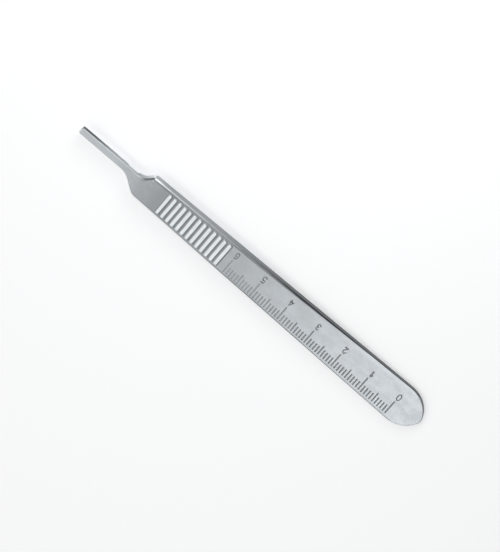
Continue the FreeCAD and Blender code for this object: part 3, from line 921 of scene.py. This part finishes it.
@dataclass
class RulerNumbers:
    """Numbers engraved beside the centimetre lines of the ruler, in millimetres.

    Each stroke is a wedge that starts at its rise above the face and ends at its depth below it. An open
    stroke goes on past its last point by its width divided by end_part, and a corner's mitre stays within
    mitre_limit.
    """

    form: HandleForm
    zero_from_tail: float = 9.1
    centimetre: float = 10.0
    line_inset: float = 1.05
    line_length: float = 4.75
    gap: float = 0.55
    height: float = 2.4
    width: float = 1.5
    stroke: float = 0.53
    fine_stroke: float = 0.34
    bold_stroke: float = 0.72
    fine: tuple[Numeral, ...] = (Numeral.ZERO, Numeral.FIVE, Numeral.SIX)
    bold: tuple[Numeral, ...] = (Numeral.ONE,)
    aside: float = 0.2
    depth: float = 0.12
    rise: float = 0.05
    end_part: float = 3.0
    mitre_limit: float = 1.6
    least_cosine: float = 0.1
    same_point: float = 1e-6

    def place(self, numeral: Numeral) -> Vector:
        """Foot of a number, in the middle of its width, on the tapering face.

        Args:
            numeral: The number.

        Returns:
            The place in drawing millimetres.
        """
        x = self.form.overall_length - self.zero_from_tail - numeral.value * self.centimetre
        start = -self.form.half_width(x) + self.line_inset + self.line_length + self.gap
        return Vector((x + self.aside, start + self.height, self.form.face_height(x)))

    def stroke_width(self, numeral: Numeral) -> float:
        """Width of a number's strokes at the face.

        Args:
            numeral: The number.

        Returns:
            Width in millimetres.
        """
        if numeral in self.fine:
            return self.fine_stroke
        return self.bold_stroke if numeral in self.bold else self.stroke

    def chisel(self, mesh: bmesh.types.BMesh, points: list[Vector], down: Vector, stroke: float) -> None:
        """Adds a closed wedge along a stroke.

        Args:
            mesh: Receives the wedge.
            points: The stroke on the face. Its ends meet if it is a ring.
            down: Unit vector into the steel.
            stroke: Width of the stroke at the face.
        """
        ring = (points[0] - points[-1]).length < self.same_point
        if ring:
            points = points[:-1]
        else:
            start = points[0] + (points[0] - points[1]).normalized() * stroke / self.end_part
            end = points[-1] + (points[-1] - points[-2]).normalized() * stroke / self.end_part
            points = [start, *points[1:-1], end]
        count = len(points)
        flare = 1 + self.rise / self.depth
        sections = []
        for index, point in enumerate(points):
            before = points[index - 1] if ring or index else None
            after = points[(index + 1) % count] if ring or index < count - 1 else None
            into = (point - before).normalized() if before else (after - point).normalized()
            out = (after - point).normalized() if after else into
            along = (into + out).normalized()
            side = along.cross(down).normalized()
            mitre = min(1 / max(side.dot(into.cross(down)), self.least_cosine), self.mitre_limit)
            reach = side * (stroke / 2 * flare * mitre)
            top = point - down * self.rise
            places = (top + reach, top - reach, point + down * self.depth)
            sections.append([mesh.verts.new(place) for place in places])
        pairs = list(zip(sections, sections[1:])) + ([(sections[-1], sections[0])] if ring else [])
        for one, two in pairs:
            for corner in range(3):
                following = (corner + 1) % 3
                mesh.faces.new((one[corner], one[following], two[following], two[corner]))
        if not ring:
            mesh.faces.new(sections[0][::-1])
            mesh.faces.new(sections[-1])

    def build(self) -> bpy.types.Object:
        """Makes the cutter for all numbers.

        Returns:
            Object that is subtracted from the handle.
        """
        mesh = bmesh.new()
        to_row = self.form.to_row()
        slope = math.atan(self.form.taper)
        down = Vector((-math.sin(slope), 0, -math.cos(slope)))
        right = Vector((-math.cos(slope), 0, math.sin(slope)))
        up = Vector((0, -1, 0))
        for numeral in Numeral:
            foot = self.place(numeral)
            wide = self.stroke_width(numeral)
            for stroke in numeral.strokes():
                points = [
                    foot
                    + right * ((x - 0.5) * (self.width - wide))
                    + up * (y * (self.height - wide) + wide / 2)
                    for x, y in stroke
                ]
                self.chisel(mesh, points, down, wide)
        bmesh.ops.recalc_face_normals(mesh, faces=mesh.faces)
        bmesh.ops.transform(mesh, matrix=to_row, verts=mesh.verts)
        data = bpy.data.meshes.new("number_cutter")
        mesh.to_mesh(data)
        mesh.free()
        cutter = bpy.data.objects.new("number_cutter", data)
        bpy.context.scene.collection.objects.link(cutter)
        return cutter


@dataclass
class SteelBody:
    """The handle itself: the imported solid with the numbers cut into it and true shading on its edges.

    Edges that turn by more than sharp_angle, in degrees, stay sharp.
    """

    form: HandleForm
    steel_and_painted_light: SatinSteel = SatinSteel()
    sharp_angle: float = 26.0

    def engraved_mesh(self) -> bpy.types.Mesh:
        """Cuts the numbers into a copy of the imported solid.

        Returns:
            Mesh of the engraved handle.
        """
        blank = bpy.data.objects.new("blank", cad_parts[NODE].data.copy())
        bpy.context.scene.collection.objects.link(blank)
        cutter = RulerNumbers(self.form).build()
        engrave = blank.modifiers.new("engraved_numbers", "BOOLEAN")
        engrave.operation = "DIFFERENCE"
        engrave.solver = "EXACT"
        engrave.use_self = True
        engrave.object = cutter
        graph = bpy.context.evaluated_depsgraph_get()
        mesh = bpy.data.meshes.new_from_object(blank.evaluated_get(graph), depsgraph=graph)
        bpy.data.objects.remove(blank)
        bpy.data.objects.remove(cutter)
        return mesh

    def build(self) -> bpy.types.Object:
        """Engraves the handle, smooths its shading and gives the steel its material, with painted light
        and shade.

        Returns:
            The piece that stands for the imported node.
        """
        mesh = self.engraved_mesh()
        mesh.name = "handle_steel"
        if mesh.attributes.get("custom_normal"):
            mesh.attributes.remove(mesh.attributes["custom_normal"])
        mesh.shade_smooth()
        mesh.set_sharp_from_angle(angle=math.radians(self.sharp_angle))
        mesh.materials.clear()
        mesh.materials.append(self.steel_and_painted_light.build(self.form))
        body = bpy.data.objects.new("handle_steel", mesh)
        bpy.context.scene.collection.objects.link(body)
        weigh = body.modifiers.new("true_normals", "WEIGHTED_NORMAL")
        weigh.keep_sharp = True
        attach(body, "root")
        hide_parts(NODE)
        return body


def main() -> None:
    """Builds the scene."""
    logging.basicConfig(level=logging.INFO, format="%(name)s: %(message)s")
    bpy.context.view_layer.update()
    form = HandleForm()
    SteelGrain().build()
    EngravedRecess(form).build()
    RibHighlightAndShade(form).build()
    body = SteelBody(form).build()
    log.info("%s has %d faces", body.name, len(body.data.polygons))
    studio = Studio()
    studio.build(form)
    log.info("studio has %d lamps", len(studio.lamps))
    bpy.context.scene.view_settings.view_transform = "Standard"


if __name__ == "__main__":
    main()
